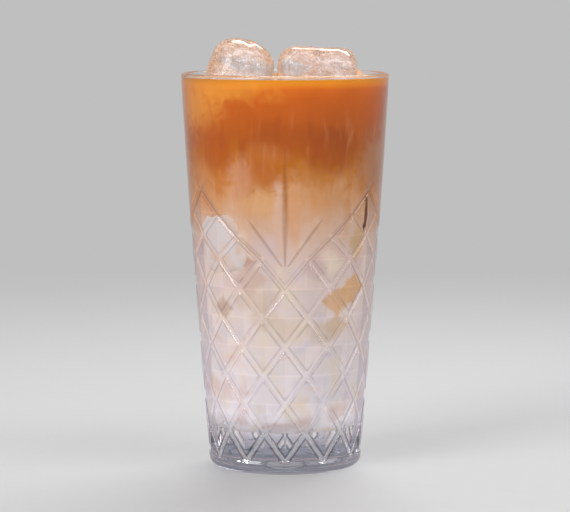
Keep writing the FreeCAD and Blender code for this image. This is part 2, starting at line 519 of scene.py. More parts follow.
def new_material(name: str) -> tuple[bpy.types.Material, Nodes]:
    """Empty node material and its wiring helper."""
    material = bpy.data.materials.new(name)
    material.use_nodes = True
    return material, Nodes(material.node_tree)


def from_srgb(red: int, green: int, blue: int) -> tuple:
    """Linear colour of an 8-bit display colour."""
    return tuple(c / 12.92 if c <= 0.04045 else ((c + 0.055) / 1.055) ** 2.4
                 for c in (red / 255, green / 255, blue / 255))


HAZE = 0.024
FOLD_LAYER = "leaf_fold"


def under_glass(red: int, green: int, blue: int) -> tuple:
    """Linear colour that shows as a display colour behind the glass, whose shine adds a haze."""
    return tuple(max(0.0, c - HAZE) for c in from_srgb(red, green, blue))


class Shade(Enum):
    """What the cut pattern puts out."""

    EDGE = "Edge"
    BAND = "Band"
    WAIST = "Waist"
    FACET = "Facet"


# Painted light and shade that the glass's cuts gather on what lies behind them: brighter at random
# per facet, along the bands and at the waists, darker at the edges.
PAINTED_CUT_LIGHT = ((Shade.FACET, 0.10), (Shade.BAND, 0.05), (Shade.WAIST, 0.07), (Shade.EDGE, -0.05))


@dataclass(frozen=True)
class CutShade:
    """Where the cuts of the glass lie, as masks that several finishes share."""

    name: str = "cut_shade"
    cut: DiamondCut = DiamondCut()
    edge_width: float = 0.085
    band_core: float = 0.4
    waist_width: float = 0.06
    waist_gap: float = 0.08
    row_fade: float = 0.1
    cell_gap: float = 5.0

    def group(self) -> bpy.types.NodeTree:
        """Makes the group, or finds it.

        Returns:
            A group from Object coordinates to the masks of Shade.
        """
        if self.name in bpy.data.node_groups:
            return bpy.data.node_groups[self.name]
        tree = bpy.data.node_groups.new(self.name, "ShaderNodeTree")
        n = Nodes(tree)
        tree.interface.new_socket("Vector", in_out="INPUT", socket_type="NodeSocketVector")
        for shade in Shade:
            tree.interface.new_socket(shade.value, in_out="OUTPUT",
                                      socket_type="NodeSocketFloat")
        place = n.add("NodeGroupInput").outputs["Vector"]
        cut, share = self.cut, self.cut.flute_share
        step = n.math("MULTIPLY", n.turn(place), cut.around / math.pi)
        z = n.height_mm(place)
        peak_base = cut.lowest_z + cut.last_even() * (cut.pitch - cut.peak_pitch)
        low = n.math("DIVIDE", n.math("SUBTRACT", z, cut.lowest_z), cut.pitch)
        high = n.math("DIVIDE", n.math("SUBTRACT", z, peak_base), cut.peak_pitch)
        row = n.math("MAXIMUM", low, high)
        rising, falling = n.math("SUBTRACT", row, step), n.math("ADD", row, step)
        off = n.math("MINIMUM", n.math("PINGPONG", rising, 1.0), n.math("PINGPONG", falling, 1.0))
        top = n.math("ADD", n.math("PINGPONG", step, cut.fan_steps() / 2), cut.full_rows)
        over = n.math("SUBTRACT", row, top)
        inside = n.math("MULTIPLY", n.remap(row, -self.row_fade, self.row_fade),
                        n.remap(over, share + self.row_fade, share))
        edge = n.remap(n.math("ABSOLUTE", n.math("SUBTRACT", off, share)),
                       0.0, self.edge_width, 1.0, 0.0)
        band = n.remap(off, share, share * self.band_core)
        waist = n.remap(n.math("PINGPONG", row, 0.5), 0.0, self.waist_width, 1.0, 0.0)
        waist = n.math("MULTIPLY", waist, n.remap(off, share, share + self.waist_gap))
        lean = [n.math("FLOOR", n.math("MULTIPLY", slope, 0.5)) for slope in (rising, falling)]
        cell = n.add("ShaderNodeCombineXYZ", {
            0: n.math("FLOOR", step), 1: n.math("FLOOR", row),
            2: n.math("ADD", lean[0], n.math("MULTIPLY", lean[1], self.cell_gap))})
        facet = n.add("ShaderNodeTexWhiteNoise", {0: cell.outputs[0]}).outputs[0]
        facet = n.math("MULTIPLY", n.math("SUBTRACT", facet, 0.5), inside)
        values = {Shade.EDGE: n.math("MULTIPLY", edge, inside),
                  Shade.BAND: n.math("MULTIPLY", band, inside),
                  Shade.WAIST: n.math("MULTIPLY", waist, inside),
                  Shade.FACET: facet}
        n.add("NodeGroupOutput", {shade.value: socket for shade, socket in values.items()})
        return tree

    def place_in(self, n: Nodes, coords: bpy.types.NodeSocket) -> dict:
        """Places the group in a material.

        Args:
            n: the material's wiring helper.
            coords: its Object coordinates.

        Returns:
            The socket of each Shade.
        """
        node = n.add("ShaderNodeGroup", node_tree=self.group())
        n.tree.links.new(coords, node.inputs["Vector"])
        return {shade: node.outputs[shade.value] for shade in Shade}


@dataclass(frozen=True)
class GlassFinish:
    """Fire-polished clear glass that lets lamps through to what it holds, with painted shade and
    painted reflections in its colour.
    """

    name: str = "clear_glass"
    ior: float = 1.5
    clear: tuple = (0.985, 0.985, 0.995)
    shadow_tint: tuple = (0.97, 0.975, 0.985)
    painted_edge_shade: tuple = (0.58, 0.52, 0.57)
    painted_base_edge_shade: tuple = (0.10, 0.10, 0.14)
    painted_base_reflections: tuple = ((0.0, (0.37, 0.38, 0.45)), (0.36, (0.42, 0.42, 0.50)),
                          (0.56, (0.76, 0.67, 0.73)), (0.80, (1.0, 0.95, 0.98)),
                          (1.0, (1.0, 1.0, 1.0)))
    painted_swirl_reflection: tuple = (0.22, 0.22, 0.28)
    painted_side_reflection: tuple = (0.50, 0.46, 0.56)
    painted_leaf_shade: tuple = (0.56, 0.46, 0.42)
    patch_scale: float = 120.0
    swirl_scale: float = 110.0
    wave_scale: float = 60.0
    wave_strength: float = 0.04
    base_z: tuple = (21.0, 14.0)
    painted_base_reflection_z: tuple = (6.0, 18.0)
    swirl_z: tuple = ((6.0, 8.0), (13.0, 10.0))
    leaf_fade_z: tuple = (133.0, 108.0)

    def edge_amount(self, n: Nodes, coords, in_base, grazing) -> bpy.types.NodeSocket:
        """How far the painted shade on the cuts' edges shows: in patches, but well in the base and
        at the sides.

        Args:
            n: the material's wiring helper.
            coords: socket of the Object coordinates.
            in_base: mask of the base.
            grazing: socket of how far the surface turns away.

        Returns:
            The amount.
        """
        patches = n.remap(n.noise(coords, self.patch_scale, detail=2.0), 0.36, 0.64, 0.15, 1.0)
        well = n.math("MAXIMUM", n.math("MULTIPLY", in_base, 0.9), n.remap(grazing, 0.25, 0.6))
        return n.math("MAXIMUM", patches, well)

    def swirls(self, n: Nodes, coords, z) -> bpy.types.NodeSocket:
        """Mask of the painted dark swirls of reflection that show through the base over the foot
        ring.
        """
        flow = n.add("ShaderNodeMapping", {"Vector": coords, "Scale": (1.0, 1.0, 3.2)})
        swirl = n.noise(flow.outputs[0], self.swirl_scale, detail=2.0, distortion=2.2)
        return n.math("MULTIPLY", n.remap(swirl, 0.55, 0.62), n.between(z, *self.swirl_z))

    def build(self) -> bpy.types.Material:
        """Makes the material."""
        material, n = new_material(self.name)
        coords = n.coords()
        cuts = CutShade().place_in(n, coords)
        z = n.height_mm(coords)
        grazing = n.add("ShaderNodeLayerWeight", {0: 0.35}).outputs["Facing"]
        in_base = n.remap(z, *self.base_z)
        # Painted shade along the cuts' edges, darker still in the base.
        edges = n.math("MULTIPLY", cuts[Shade.EDGE],
                       self.edge_amount(n, coords, in_base, grazing))
        tint = n.mix(edges, self.clear, n.mix(in_base, self.painted_edge_shade, self.painted_base_edge_shade))
        flat = n.math("SUBTRACT", 1.0, n.math("MULTIPLY", cuts[Shade.BAND], 0.8))
        # Painted dark reflections in the base, lighter up the side and kept off the bands.
        base_reflection = n.ramp(n.remap(z, *self.painted_base_reflection_z, smooth=False), list(self.painted_base_reflections))
        tint = n.mix(flat, tint, base_reflection, "MULTIPLY")
        # Painted dark swirls of reflection over the foot ring.
        tint = n.mix(n.math("MULTIPLY", self.swirls(n, coords, z), flat), tint,
                     self.painted_swirl_reflection, "MULTIPLY")
        # Painted shade in the bottoms of the leaf cuts, fading out towards the top.
        fold = n.add("ShaderNodeAttribute", attribute_name=FOLD_LAYER).outputs["Fac"]
        fold = n.math("MULTIPLY", n.remap(fold, 0.52, 0.95), n.remap(z, *self.leaf_fade_z))
        tint = n.mix(fold, tint, self.painted_leaf_shade, "MULTIPLY")
        # Painted lavender reflection where the side turns away from the view.
        tint = n.mix(n.remap(grazing, 0.24, 0.66), tint, self.painted_side_reflection, "MULTIPLY")
        wave = n.noise(coords, self.wave_scale, detail=1.0)
        bump = n.add("ShaderNodeBump", {"Height": wave, "Strength": self.wave_strength,
                                        "Distance": 0.002})
        glass = n.add("ShaderNodeBsdfPrincipled", {
            "Base Color": tint, "Roughness": 0.0, "IOR": self.ior,
            "Transmission Weight": 1.0, "Normal": bump.outputs[0]})
        n.finish(glass, n.rays("Is Shadow Ray", "Is Diffuse Ray"), self.shadow_tint)
        return material


class Outline(Enum):
    """How a cloud ends: in a soft round, or in the diamond that a facet bends it to."""

    ROUND = "round"
    DIAMOND = "diamond"


@dataclass(frozen=True)
class Cloud:
    """A soft cloud of another colour in the drink, against the wall of the glass."""

    degrees: float
    z: float
    half_degrees: float
    half_z: float
    colour: tuple
    strength: float = 0.8
    softness: float = 0.5
    outline: Outline = Outline.ROUND


@dataclass(frozen=True)
class DrinkFinish:
    """Milk below, coffee above and a streaked blend between, seen through the glass."""

    name: str = "milk_coffee"
    cream: tuple = (230, 212, 190)
    lilac: tuple = (206, 194, 206)
    tan: tuple = (214, 182, 172)
    thread: tuple = (208, 132, 86)
    dark_thread: tuple = (158, 72, 16)
    milk_z: tuple = (100.0, 84.0)
    blend_z: tuple = ((84.0, 100.0), (138.0, 122.0))
    thread_z: tuple = ((98.0, 110.0), (143.0, 130.0))
    dark_z: tuple = ((108.0, 126.0), (142.0, 132.0))
    low_z: float = 15.0
    high_z: float = 150.0
    fine_scale: float = 300.0
    broad_scale: float = 90.0
    cloud_scale: float = 75.0
    curl_scale: float = 150.0
    soft_scale: float = 120.0
    broad_shift: float = 22.0
    fine_shift: float = 12.0
    curl_shift: float = 14.0
    # The lowest stops are painted lighter against the shade at the drink's bottom, and the top
    # ones brighten into a painted band of light under the surface.
    layers: tuple = (
        (15.0, (255, 248, 250)),
        (20.0, (248, 240, 243)),
        (26.0, (230, 220, 223)),
        (38.0, (229, 217, 217)),
        (50.0, (226, 211, 207)),
        (66.0, (222, 203, 197)),
        (80.0, (218, 194, 184)),
        (90.0, (214, 180, 160)),
        (98.0, (211, 165, 133)),
        (106.0, (209, 152, 106)),
        (112.0, (196, 128, 72)),
        (119.0, (188, 110, 40)),
        (128.0, (180, 95, 18)),
        (136.0, (192, 96, 12)),
        (143.0, (204, 101, 14)),
        (146.5, (218, 110, 16)),
        (149.5, (238, 150, 48)),
    )
    clouds: tuple = (
        Cloud(-66.0, 141.0, 24.0, 9.0, (226, 148, 66), 0.8, 0.8),
        Cloud(-34.0, 146.0, 24.0, 3.5, (232, 150, 62), 0.7, 0.8),
        Cloud(4.0, 128.0, 26.0, 6.0, (168, 82, 20), 0.5),
        Cloud(30.0, 124.0, 16.0, 8.0, (162, 80, 14), 0.7),
        Cloud(-46.0, 124.0, 12.0, 9.0, (176, 84, 22), 0.6),
        Cloud(-12.0, 122.0, 13.0, 5.0, (190, 112, 60), 0.6),
        Cloud(-27.0, 112.0, 8.0, 8.0, (206, 146, 112), 0.7),
        Cloud(-12.0, 115.0, 8.0, 5.0, (184, 98, 46), 0.6),
        Cloud(64.0, 116.0, 15.0, 12.0, (178, 124, 88), 0.8),
        Cloud(-60.0, 108.0, 12.0, 8.0, (196, 130, 84), 0.6),
        Cloud(24.0, 106.0, 12.0, 5.0, (210, 150, 102), 0.6),
        Cloud(-15.0, 104.0, 12.0, 5.0, (220, 168, 120), 0.6),
        # Along the stem cut: a pale cloud on its left flank that is a painted reflection, and
        # drink colour on its right flank.
        Cloud(-3.6, 99.0, 3.4, 13.0, (218, 180, 158), 0.7, 0.4),
        Cloud(6.0, 100.0, 4.0, 12.0, (216, 156, 112), 0.6, 0.4),
        # Painted shade: a dark upright streak below the peak between two fans.
        Cloud(60.5, 98.5, 1.7, 7.0, (96, 62, 46), 0.95, 0.35),
        Cloud(53.0, 88.5, 7.5, 7.5, (206, 168, 116), 0.75, 0.35, Outline.DIAMOND),
        Cloud(52.0, 71.0, 12.0, 6.0, (216, 164, 108), 0.80, 0.25, Outline.DIAMOND),
        Cloud(37.5, 66.4, 12.0, 6.0, (214, 164, 112), 0.75, 0.25, Outline.DIAMOND),
        Cloud(37.5, 57.0, 11.0, 5.0, (214, 178, 142), 0.65, 0.35, Outline.DIAMOND),
        Cloud(-46.0, 63.5, 8.0, 4.5, (196, 164, 148), 0.8, 0.35, Outline.DIAMOND),
        Cloud(-26.0, 82.0, 6.0, 3.0, (180, 128, 112), 0.7, 0.4, Outline.DIAMOND),
        Cloud(-24.0, 75.0, 12.0, 7.0, (204, 174, 158), 0.7, 0.3, Outline.DIAMOND),
        Cloud(20.0, 79.0, 9.0, 6.0, (200, 172, 168), 0.7, 0.4, Outline.DIAMOND),
        Cloud(-15.0, 60.5, 12.0, 6.0, (212, 188, 166), 0.6, 0.35, Outline.DIAMOND),
        Cloud(4.0, 56.0, 16.0, 4.5, (216, 198, 178), 0.6),
        Cloud(27.0, 55.0, 9.0, 4.0, (208, 186, 168), 0.6),
        Cloud(-22.0, 67.0, 15.0, 4.0, (206, 182, 164), 0.6),
        # Paler upright streaks at the sides: painted light where the side wall turns away.
        Cloud(80.0, 120.0, 8.0, 24.0, (200, 150, 118), 0.55, 0.8),
        Cloud(-82.0, 118.0, 7.0, 24.0, (206, 146, 104), 0.55),
        Cloud(140.0, 80.0, 22.0, 9.0, (206, 156, 110), 0.7),
        Cloud(-128.0, 70.0, 18.0, 6.0, (208, 160, 116), 0.7),
        Cloud(175.0, 96.0, 16.0, 8.0, (202, 142, 92), 0.7),
    )

    def cloud_mask(self, n: Nodes, cloud: Cloud, turn, z, ragged) -> bpy.types.NodeSocket:
        """Mask of one cloud.

        Args:
            n: the material's wiring helper.
            cloud: the cloud.
            turn: socket of the angle from the front, in degrees.
            z: socket of the height, in millimetres.
            ragged: socket of a noise round 0 that tears the edge.

        Returns:
            A mask up to the cloud's strength.
        """
        away = n.math("WRAP", n.math("SUBTRACT", turn, cloud.degrees), 180.0, -180.0)
        across = n.math("DIVIDE", away, cloud.half_degrees)
        up = n.math("DIVIDE", n.math("SUBTRACT", z, cloud.z), cloud.half_z)
        if cloud.outline is Outline.DIAMOND:
            far = n.math("ADD", n.math("ABSOLUTE", across), n.math("ABSOLUTE", up))
        else:
            far = n.math("SQRT", n.math("ADD", n.math("POWER", across, 2.0),
                                        n.math("POWER", up, 2.0)))
        far = n.math("ADD", far, n.math("MULTIPLY", ragged, cloud.softness * 2))
        return n.remap(far, 1.0 + cloud.softness, 1.0 - cloud.softness, 0.0, cloud.strength)

    def layer_colour(self, n: Nodes, level) -> bpy.types.NodeSocket:
        """Colour of the layers at a level in millimetres."""
        span = self.high_z - self.low_z
        stops = [((z - self.low_z) / span, under_glass(*rgb)) for z, rgb in self.layers]
        return n.ramp(n.remap(level, self.low_z, self.high_z, smooth=False), stops)

    def mottled(self, n: Nodes, colour, coords, cloud, z) -> bpy.types.NodeSocket:
        """Milk with soft patches of cream, lilac and tan.

        Args:
            n: the material's wiring helper.
            colour: socket of the colour below them.
            coords: socket of the Object coordinates.
            cloud: socket of the noise of the tan patches.
            z: socket of the height, in millimetres.

        Returns:
            The colour.
        """
        in_milk = n.remap(z, *self.milk_z)
        soft = n.noise(coords, self.soft_scale, detail=1.5, distortion=0.3)
        patches = ((n.remap(soft, 0.50, 0.72, 0.0, 0.6), self.cream),
                   (n.remap(soft, 0.50, 0.28, 0.0, 0.4), self.lilac),
                   (n.remap(cloud, 0.50, 0.72, 0.0, 0.6), self.tan))
        for mask, tint in patches:
            colour = n.mix(n.math("MULTIPLY", mask, in_milk), colour, under_glass(*tint))
        return colour

    def threaded(self, n: Nodes, colour, fine, z) -> bpy.types.NodeSocket:
        """Coffee with fine upright threads of milk in it, and darker ones between.

        Args:
            n: the material's wiring helper.
            colour: socket of the colour below them.
            fine: socket of the threads' noise.
            z: socket of the height, in millimetres.

        Returns:
            The colour.
        """
        for reach, heights, tint in (((0.54, 0.74, 0.0, 0.50), self.thread_z, self.thread),
                                     ((0.46, 0.30, 0.0, 0.35), self.dark_z, self.dark_thread)):
            mask = n.math("MULTIPLY", n.remap(fine, *reach), n.between(z, *heights))
            colour = n.mix(mask, colour, under_glass(*tint))
        return colour

    def build(self) -> bpy.types.Material:
        """Makes the material."""
        material, n = new_material(self.name)
        coords = n.coords()
        cuts = CutShade().place_in(n, coords)
        upright = n.add("ShaderNodeMapping", {"Vector": coords, "Scale": (1.0, 1.0, 0.16)})
        fine = n.noise(upright.outputs[0], self.fine_scale, detail=4.0, distortion=0.5)
        broad = n.noise(upright.outputs[0], self.broad_scale, detail=3.0, distortion=0.8)
        cloud = n.noise(coords, self.cloud_scale, detail=4.0, distortion=0.8)
        curl = n.noise(coords, self.curl_scale, detail=4.0, distortion=1.6)
        z = n.height_mm(coords)
        turn = n.math("MULTIPLY", n.turn(coords), math.degrees(1.0))
        in_blend = n.between(z, *self.blend_z)
        shift = n.total(n.signed(broad, self.broad_shift), n.signed(fine, self.fine_shift),
                        n.signed(curl, self.curl_shift))
        colour = self.layer_colour(n, n.math("ADD", z, n.math("MULTIPLY", shift, in_blend)))
        colour = self.mottled(n, colour, coords, cloud, z)
        ragged = n.total(n.signed(curl, 1.4), n.signed(fine, 0.5))
        for item in self.clouds:
            mask = self.cloud_mask(n, item, turn, z, ragged)
            colour = n.mix(mask, colour, under_glass(*item.colour))
        colour = self.threaded(n, colour, fine, z)
        # Random cloudy tone of the drink plus painted light and shade from the glass's cuts.
        tone = n.total(n.signed(cloud, 0.22),
                       *(n.math("MULTIPLY", cuts[shade], share) for shade, share in PAINTED_CUT_LIGHT))
        surface = n.add("ShaderNodeBsdfPrincipled", {
            "Base Color": n.toned(colour, tone), "Roughness": 0.6, "Specular IOR Level": 0.0})
        n.finish(surface)
        return material


@dataclass(frozen=True)
class DrinkTopFinish:
    """The drink's open surface: wet coffee with a pale thread of milk."""

    name: str = "coffee_top"
    body: tuple = (206, 156, 112)
    pale: tuple = (224, 196, 168)

    def build(self) -> bpy.types.Material:
        """Makes the material."""
        material, n = new_material(self.name)
        coords = n.coords()
        swirl = n.remap(n.noise(coords, 70.0, detail=4.0, distortion=2.0), 0.42, 0.66)
        colour = n.mix(swirl, from_srgb(*self.body), from_srgb(*self.pale))
        ripple = n.add("ShaderNodeBump", {"Height": n.noise(coords, 120.0, detail=1.0),
                                          "Strength": 0.15, "Distance": 0.001})
        surface = n.add("ShaderNodeBsdfPrincipled", {
            "Base Color": colour, "Roughness": 0.12, "IOR": 1.34,
            "Normal": ripple.outputs[0]})
        n.finish(surface)
        return material


@dataclass(frozen=True)
class IceFinish:
    """Wet clear ice, with a painted coffee-coloured refraction towards its outline."""

    name: str = "clear_ice"
    tint: tuple = (0.955, 0.93, 0.91)
    painted_rim_refraction: tuple = (0.82, 0.58, 0.38)

    def build(self) -> bpy.types.Material:
        """Makes the material."""
        material, n = new_material(self.name)
        coords = n.coords()
        wave = n.add("ShaderNodeBump", {"Height": n.noise(coords, 160.0, detail=2.0),
                                        "Strength": 0.25, "Distance": 0.002})
        facing = n.add("ShaderNodeLayerWeight", {0: 0.35}).outputs["Facing"]
        # Painted coffee-coloured refraction where the surface turns away from the view.
        tint = n.mix(n.remap(facing, 0.05, 0.48), self.tint, self.painted_rim_refraction)
        ice = n.add("ShaderNodeBsdfPrincipled", {
            "Base Color": tint, "Roughness": 0.03, "IOR": 1.31,
            "Transmission Weight": 1.0, "Normal": wave.outputs[0]})
        n.finish(ice, n.rays("Is Shadow Ray"), self.tint)
        return material


@dataclass(frozen=True)
class FrostFinish:
    """Cloudy heart of an ice cube: fine trapped bubbles that thin out to nothing."""

    name: str = "frosted_heart"
    colour: tuple = (208, 202, 206)
    shade: tuple = (186, 170, 166)

    def build(self) -> bpy.types.Material:
        """Makes the material."""
        material, n = new_material(self.name)
        coords = n.coords()
        grain = n.noise(coords, 1400.0, detail=2.0)
        cloud = n.noise(coords, 180.0, detail=3.0)
        colour = n.mix(n.remap(n.noise(coords, 420.0, detail=3.0), 0.4, 0.62),
                       from_srgb(*self.shade), from_srgb(*self.colour))
        cover = n.remap(n.math("ADD", n.math("MULTIPLY", grain, 0.6),
                               n.math("MULTIPLY", cloud, 0.4)), 0.38, 0.62, 0.12, 0.7)
        frost = n.add("ShaderNodeBsdfPrincipled", {
            "Base Color": colour, "Roughness": 0.7, "Alpha": cover})
        n.finish(frost)
        return material


@dataclass(frozen=True)
class SunkIceFinish:
    """Ice below the surface, clouded by milk, that lies against the glass."""

    name: str = "sunk_ice"
    pale: tuple = (212, 200, 198)
    warm: tuple = (212, 186, 170)

    def build(self) -> bpy.types.Material:
        """Makes the material."""
        material, n = new_material(self.name)
        coords = n.coords()
        cuts = CutShade().place_in(n, coords)
        milky = n.remap(n.noise(coords, 130.0, detail=3.0, distortion=0.8), 0.36, 0.66)
        milky = n.math("MULTIPLY", milky, n.remap(n.height_mm(coords), 112.0, 94.0, 0.15, 1.0))
        colour = n.mix(milky, under_glass(*self.warm), under_glass(*self.pale))
        # Painted light and shade from the glass's cuts: per facet and along the bands.
        tone = n.total(n.math("MULTIPLY", cuts[Shade.FACET], 0.07),
                       n.math("MULTIPLY", cuts[Shade.BAND], 0.05))
        surface = n.add("ShaderNodeBsdfPrincipled", {
            "Base Color": n.toned(colour, tone), "Roughness": 0.5, "Specular IOR Level": 0.1})
        n.finish(surface)
        return material


# ---- the glass ---------------------------------------------------------------------
@dataclass
class LeafCut:
    """One pointed V cut along a line of (degrees, z) points."""

    line: list
    width: float
    depth: float
    shape: list
    overrun: float = 0.15

    def share(self, t: float) -> float:
        """Fullness of the leaf at a share t of its length."""
        last = len(self.shape) - 1
        at = min(max(t, 0.0), 1.0) * last
        i = min(int(at), last - 1)
        return self.shape[i] + (self.shape[i + 1] - self.shape[i]) * (at - i)

    def fold_at(self, blank: Tumbler, degrees: float, z: float) -> tuple:
        """Place across the cut.

        Args:
            blank: the uncut glass.
            degrees: angle from the front.
            z: height.

        Returns:
            The share of the way from its edge, 0, to its bottom line, 1, and that share
            times its fullness there, both 0 outside the cut.
        """
        scale = math.radians(blank.outer(z))
        total = len(self.line) - 1
        best = (0.0, 0.0)
        for index, ((d0, z0), (d1, z1)) in enumerate(zip(self.line, self.line[1:])):
            ax, ay = (d1 - d0) * scale, z1 - z0
            px = ((degrees - d0 + 180) % 360 - 180) * scale
            py = z - z0
            length = math.hypot(ax, ay)
            t = (px * ax + py * ay) / length ** 2
            if t < -self.overrun or t > 1 + self.overrun:
                continue
            held = min(max(t, 0.0), 1.0)
            away = math.hypot(px - ax * held, py - ay * held)
            full = self.share((index + held) / total)
            if full > 1e-3:
                fold = 1 - away / (self.width / 2 * full)
                if full * fold > best[1]:
                    best = (fold, full * fold)
        return best


@dataclass
class CutGlass:
    """The tumbler: turned blank, low pyramids and fans of leaf-shaped cuts."""

    blank: Tumbler = Tumbler()
    diamonds: DiamondCut = DiamondCut()
    per_step: int = 16
    arm_width: float = 4.0
    arm_depth: float = 0.8
    arm_tip: tuple = (9.0, 5.2)
    inner_width: float = 4.4
    inner_depth: float = 0.8
    inner_reach: tuple = (25.0, 19.5)
    stem_width: float = 8.5
    stem_depth: float = 1.0
    stem_length: float = 45.5
    root_rise: float = 9.0
    fine_row: float = 1.2
    coarse_row: float = 5.0
    rim_rows: tuple = (1.2, 0.5, 0.15)
    under_cuts: float = 0.5
    row_slack: float = 0.01
    side_slack: float = 0.05
    leaf_margin: float = 4.0

    def leaf_cuts(self) -> list:
        """Lists the cuts of all the fans."""
        cuts = []
        half = self.diamonds.fan_steps() // 2
        root_z = self.diamonds.row_z(self.diamonds.full_rows)
        inner_z = root_z + self.root_rise
        for fan in range(self.diamonds.fans):
            middle = fan * 360.0 / self.diamonds.fans
            for side in (-1, 1):
                arm = [(middle + side * s * self.diamonds.step_deg(),
                        self.diamonds.row_z(self.diamonds.full_rows + s))
                       for s in range(half + 1)]
                peak_deg, peak_z = arm[-1]
                arm.append((peak_deg + side * self.arm_tip[0], peak_z + self.arm_tip[1]))
                cuts.append(LeafCut(arm, self.arm_width, self.arm_depth,
                                    [0.4, 0.75, 0.9, 1.0, 1.0, 0.0]))
                tip = (middle + side * self.inner_reach[0], inner_z + self.inner_reach[1])
                cuts.append(LeafCut([(middle + side * 2.0, inner_z), tip], self.inner_width,
                                    self.inner_depth, [0.5, 0.9, 1.0, 0.8, 0.0]))
            cuts.append(LeafCut([(middle, inner_z), (middle, inner_z + self.stem_length)],
                                self.stem_width, self.stem_depth,
                                [0.25, 0.7, 1.0, 0.85, 0.5, 0.0]))
        return cuts

    def profile(self) -> list:
        """Half section from the middle of the underside, up the side and down the bore."""
        b = self.blank
        foot_in, foot_out = b.foot_r - b.heel_r - b.ring_width, b.foot_r - b.heel_r
        shares = [i / 10 for i in range(11)]
        points = [(foot_in * t, b.punt_depth * (1 - t ** 2)) for t in shares]
        points += [(foot_in + b.ring_width / 2, 0.0), (foot_out, 0.0)]
        points += arc((foot_out, 0.0), (b.foot_r, b.heel_r), math.tan(math.pi / 8), 8)
        rows = [self.diamonds.row_z(r) for r in range(self.diamonds.top_row() + 1)]
        under = rows[0] - self.under_cuts
        points.append((b.outer(under), under))
        for low, high in zip(rows, rows[1:]):
            for i in range(self.per_step):
                z = low + (high - low) * i / self.per_step
                points.append((b.outer(z), z))
        stem_tip = rows[self.diamonds.full_rows] + self.root_rise + self.stem_length
        z, top = rows[-1], b.height - b.rim_wall / 2
        while z < top - self.coarse_row * 0.6:
            points.append((b.outer(z), z))
            z += self.fine_row if z < stem_tip + 1 else self.coarse_row
        points += [(b.outer(top - off), top - off) for off in self.rim_rows]
        points.append((b.rim_r, top))
        points += arc((b.rim_r, top), b.bore_high(), 1.0, 10)
        inside = b.bore_profile(b.bore_high()[1])
        points += inside[-2::-1]
        return points

    def cut(self, bm: bmesh.types.BMesh) -> None:
        """Moves the side's points in to the facets and the leaf cuts."""
        cuts = self.leaf_cuts()
        b = self.blank
        folds = bm.verts.layers.float.new(FOLD_LAYER)
        low, high = self.diamonds.lowest_z - self.row_slack, b.height - b.rim_wall
        leaves_from = self.diamonds.row_z(self.diamonds.full_rows) - self.leaf_margin
        for vert in bm.verts:
            x, y, z = vert.co / MM
            if not low < z < high:
                continue
            r = math.hypot(x, y)
            uncut = b.outer(z)
            if r < uncut - self.side_slack:
                continue
            degrees = math.degrees(math.atan2(x, -y))
            facet = self.diamonds.radius(b, degrees, z)
            new_r = min(uncut, facet) if facet is not None else uncut
            if z > leaves_from:
                found = [(c.depth, *c.fold_at(b, degrees, z)) for c in cuts]
                new_r = min(new_r, uncut - max(depth * full for depth, _, full in found))
                vert[folds] = max(fold for _, fold, _ in found)
            vert.co = polar(new_r * MM, degrees, z * MM)

    def split_along_ridges(self, bm: bmesh.types.BMesh) -> None:
        """Splits the side's quads so that their diagonals run along the ridges."""
        b = self.blank
        step = self.diamonds.step_deg()
        by_parity: dict[int, list] = {0: [], 1: []}
        for face in bm.faces:
            if len(face.verts) != 4:
                continue
            x, y, z = face.calc_center_median() / MM
            row = self.diamonds.row_at(z)
            if row < 0 or row > self.diamonds.top_row() or math.hypot(x, y) < b.bore(z) + 1:
                continue
            column = math.floor(math.degrees(math.atan2(x, -y)) / step)
            by_parity[(column + math.floor(row)) % 2].append(face)
        for parity, faces in by_parity.items():
            rising, falling = [], []
            for face in faces:
                loops = list(face.verts)
                lowest = min(loops, key=lambda v: (round(v.co.z, 6), self.turn(v, face)))
                first = loops.index(lowest) % 2 == 0
                (rising if first == (parity == 0) else falling).append(face)
            if rising:
                bmesh.ops.triangulate(bm, faces=rising, quad_method="FIXED")
            if falling:
                bmesh.ops.triangulate(bm, faces=falling, quad_method="ALTERNATE")

    @staticmethod
    def turn(vert: bmesh.types.BMVert, face: bmesh.types.BMFace) -> float:
        """Angle of a corner round the axis from its face's middle."""
        return vert.co.xy.angle_signed(face.calc_center_median().xy)

    def build(self, finish: GlassFinish) -> bpy.types.Object:
        """Makes the glass piece."""
        columns = 2 * self.diamonds.around * self.per_step
        bm = turned(self.profile(), columns)
        self.cut(bm)
        self.split_along_ridges(bm)
        return add_piece("cut_glass", bm, [finish.build()], ("glass",))


# ---- the drink ---------------------------------------------------------------------
@dataclass
class Drink:
    """Milk and coffee in one body, reaching just into the wall of the glass."""

    blank: Tumbler = Tumbler()
    fill_gap: float = 4.3
    into_wall: float = 0.25
    creep: float = 2.9
    creep_width: float = 1.5
    creep_rows: tuple = (0.4, 0.8, 1.3, 2.0, 3.0, 4.5, 7.0)
    columns: int = 128

    def build(self, side: DrinkFinish, top: DrinkTopFinish) -> bpy.types.Object:
        """Makes the drink piece.

        Args:
            side: finish seen through the glass.
            top: finish of the open surface.

        Returns:
            The piece.
        """
        level = self.blank.height - self.fill_gap
        profile = self.blank.bore_profile(level + self.creep, grow=self.into_wall, rows=30)
        edge_r = profile[-1][0]
        profile += [(edge_r - inward, level + self.creep * math.exp(-inward / self.creep_width))
                    for inward in self.creep_rows]
        profile += [(edge_r * s, level) for s in (0.7, 0.4, 0.0)]
        bm = turned(profile, self.columns)
        for face in bm.faces:
            if face.normal.z > 0.2 and face.calc_center_median().z > level * MM * 0.9:
                face.material_index = 1
        return add_piece("drink", bm, [side.build(), top.build()],
                         ("coffee", "blend", "milk"))


